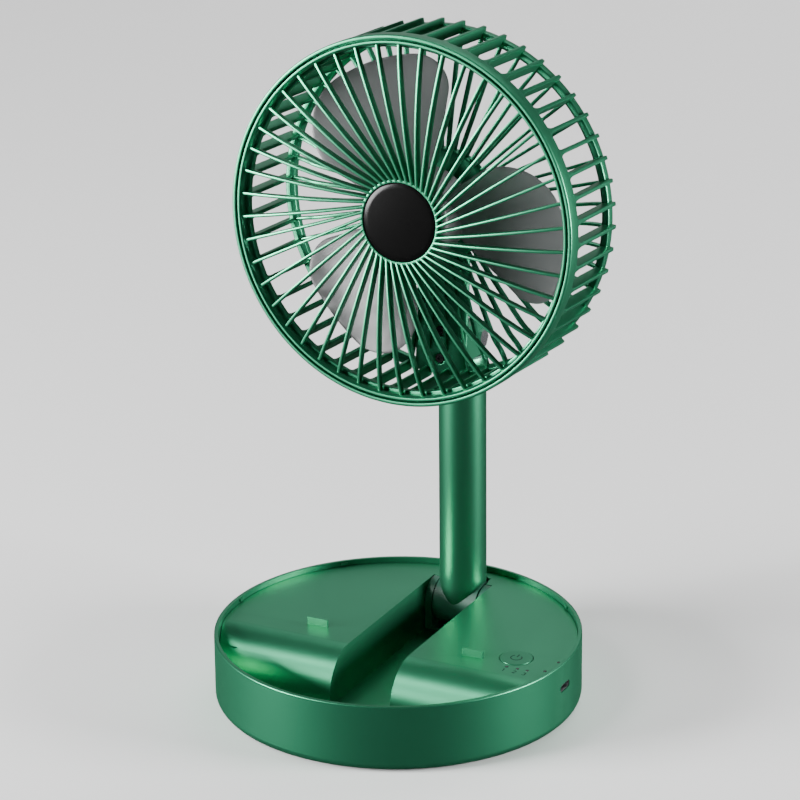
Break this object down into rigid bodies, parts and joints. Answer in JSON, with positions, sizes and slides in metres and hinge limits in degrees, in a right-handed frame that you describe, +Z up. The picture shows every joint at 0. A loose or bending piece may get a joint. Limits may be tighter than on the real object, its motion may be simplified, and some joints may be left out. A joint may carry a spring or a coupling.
{
  "type": "desk fan",
  "caption": "Folding desk fan: round battery base, hinged column that lies in a slot, caged head that folds flat over the base, and a paddle impeller.",
  "frame": {"origin": "middle of the underside of the base, on the surface it stands on", "axes": "+Z up, front of the fan towards -Y, +X to the right seen from the front"},
  "size_m": [0.165, 0.165, 0.3028],
  "materials": {
    "green_paint": "satin green paint with a fine metallic grain",
    "green_metal": "satin green paint on drawn tube",
    "dark_green": "dark green moulded plastic",
    "rubber_black": "matt black rubber",
    "steel": "zinc plated steel",
    "black_screw": "black oxide screw",
    "nylon": "natural nylon",
    "cell_wrap": "shrink wrapped cell",
    "black_plastic": "black moulded plastic",
    "board_green": "solder mask",
    "clear_pipe": "clear acrylic light pipe",
    "grey_plastic": "grey moulded plastic",
    "badge_black": "gloss black badge",
    "lamination": "laminated steel",
    "magnet": "bonded ferrite"
  },
  "bodies": {
    "base": {"base_shell": "green_paint", "foot_pads": "rubber_black", "deck": "green_paint", "base_screws": "black_screw", "hinge_bracket": "dark_green", "bracket_bolts": "black_screw", "hinge_pin": "steel", "hinge_washers": "nylon", "battery_cells": "cell_wrap", "battery_cradle": "black_plastic", "main_board": "board_green", "board_screws": "black_screw", "usb_socket": "steel", "tact_switch": "black_plastic", "light_pipes": "clear_pipe"},
    "button": {"power_button": "green_paint"},
    "column": {"column_tube": "green_metal", "column_knuckle": "dark_green", "neck_knuckle": "dark_green", "tube_screws": "black_screw"},
    "head": {"front_band": "green_paint", "drum_ribs": "green_paint", "rear_grille": "green_paint", "front_guard": "green_paint", "hub_badge": "badge_black", "motor_cover": "green_paint", "neck_bracket": "green_paint", "bracket_screws": "black_screw", "neck_pin": "steel", "neck_nut": "steel", "neck_washers": "nylon", "motor_mount": "black_plastic", "motor_screws": "black_screw", "stator": "lamination", "motor_board": "board_green", "bearings": "steel"},
    "impeller": {"impeller": "grey_plastic", "motor_shaft": "steel", "rotor_yoke": "steel", "rotor_magnet": "magnet"}
  },
  "joints": [
    {"name": "column_fold", "type": "hinge", "parent": "base", "child": "column", "pos_m": [0, 0.0665, 0.0183], "axis": [1, 0, 0], "range_deg": [0, 89.2]},
    {"name": "neck_fold", "type": "hinge", "parent": "column", "child": "head", "pos_m": [0, 0.06355, 0.15074], "axis": [-1, 0, 0], "range_deg": [0, 174.5]},
    {"name": "impeller_spin", "type": "hinge", "parent": "head", "child": "impeller", "pos_m": [0, 0.00366, 0.221], "axis": [0, -0.9976, 0.0699], "continuous": true},
    {"name": "button_press", "type": "slide", "parent": "base", "child": "button", "axis": [0, 0, -1], "range_m": [0, 0.0008], "stiffness_N_per_m": 300}
  ],
  "couplings": [
    {"joint": "neck_fold", "follows": "column_fold", "ratio": 1.9554}
  ]
}
